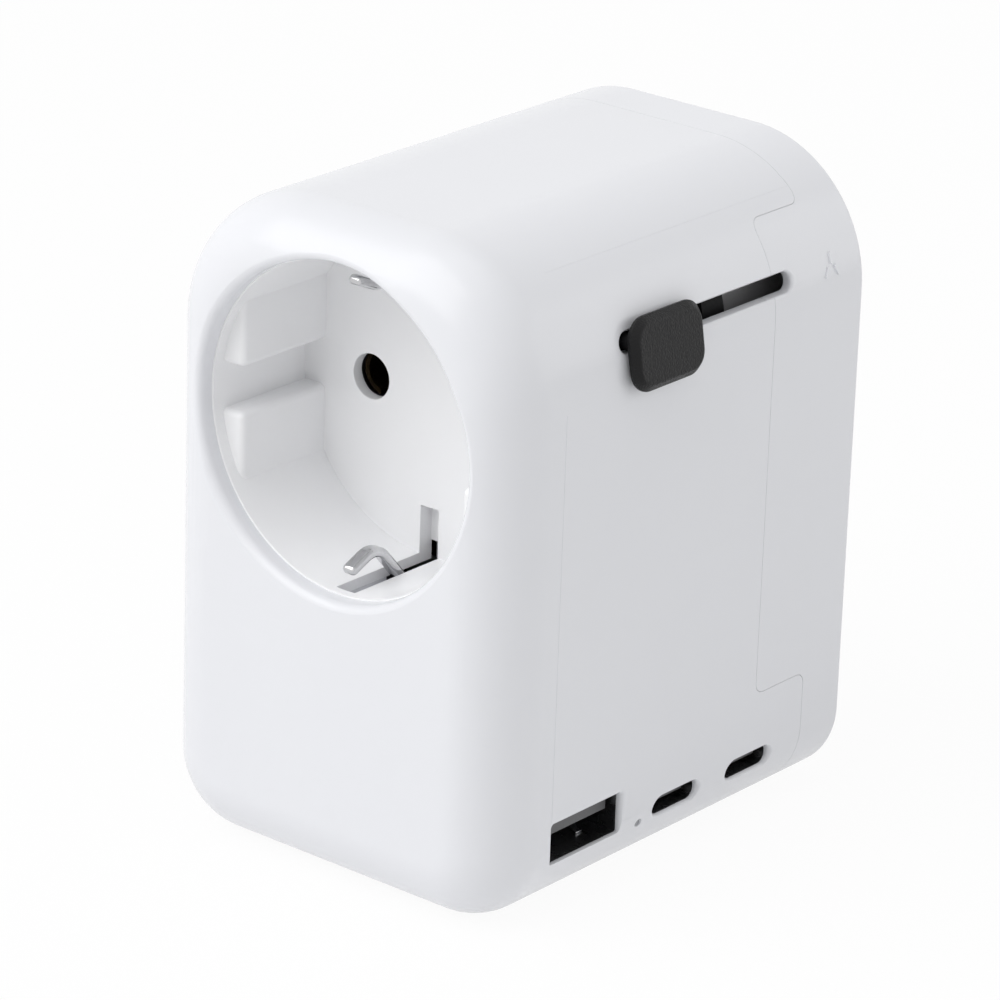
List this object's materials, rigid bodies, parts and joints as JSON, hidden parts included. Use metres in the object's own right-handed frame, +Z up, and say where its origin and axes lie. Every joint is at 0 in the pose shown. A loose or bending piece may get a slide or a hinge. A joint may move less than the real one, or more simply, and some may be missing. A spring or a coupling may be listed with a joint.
{
  "type": "universal travel adapter",
  "caption": "Block-shaped travel adapter with a round plug socket on the front, charging ports on the side and plug sets that slide out of the rear face.",
  "frame": {"origin": "centre of the base, on the surface that the adapter stands on", "axes": "+Z up, +Y from the socket face to the rear face, +X to the side with the charging ports"},
  "size_m": [0.0566, 0.066, 0.081],
  "materials": {
    "shell_white": "satin gloss, fine moulded",
    "recess_white": "satin",
    "knob_charcoal": "fine grained",
    "frame_grey": "matte",
    "contact_brass": "bright stamped",
    "spring_steel": "bright plated",
    "pin_plate": "nickel plated",
    "board_green": "solder mask",
    "port_steel": "plated sheet",
    "port_black": "moulded",
    "clear_rod": "clear",
    "lamp_body": "cast",
    "core_dark": "ferrite",
    "can_sleeve": "shrink sleeve",
    "fuse_glass": "clear tube with end caps",
    "screw_steel": "zinc plated"
  },
  "bodies": {
    "housing": {"front_housing": "shell_white", "rear_cover": "shell_white", "socket_cup": "recess_white", "contact_carrier": "frame_grey", "line_contact": "contact_brass", "neutral_contact": "contact_brass", "line_bar": "contact_brass", "neutral_bar": "contact_brass", "earth_bar": "contact_brass", "earth_clip_top": "spring_steel", "earth_clip_bottom": "spring_steel", "fuse": "fuse_glass", "fuse_clips": "contact_brass", "circuit_board": "board_green", "usb_a_shell": "port_steel", "usb_a_tongue": "port_black", "usb_c_front_shell": "port_steel", "usb_c_front_tongue": "port_black", "usb_c_rear_shell": "port_steel", "usb_c_rear_tongue": "port_black", "indicator_lamp": "lamp_body", "light_pipe": "clear_rod", "transformer": "core_dark", "bulk_capacitor": "can_sleeve", "output_capacitor": "can_sleeve", "cover_screws": "screw_steel", "carrier_screws": "screw_steel", "board_screws": "screw_steel"},
    "cn_slide": {"cn_knob": "knob_charcoal", "cn_carriage": "knob_charcoal", "cn_blades": "pin_plate", "cn_earth_blade": "pin_plate"},
    "us_slide": {"us_knob": "knob_charcoal", "us_carriage": "knob_charcoal", "us_blades": "pin_plate", "us_earth_pin": "pin_plate"},
    "uk_slide": {"uk_knob": "knob_charcoal", "uk_carriage": "knob_charcoal", "uk_pins": "pin_plate", "uk_earth_pin": "pin_plate"}
  },
  "joints": [
    {"name": "cn_slide_out", "type": "slide", "parent": "housing", "child": "cn_slide", "axis": [0, 1, 0], "range_m": [0, 0.02]},
    {"name": "us_slide_out", "type": "slide", "parent": "housing", "child": "us_slide", "axis": [0, 1, 0], "range_m": [0, 0.02]},
    {"name": "uk_slide_out", "type": "slide", "parent": "housing", "child": "uk_slide", "axis": [0, 1, 0], "range_m": [0, 0.0227]}
  ]
}
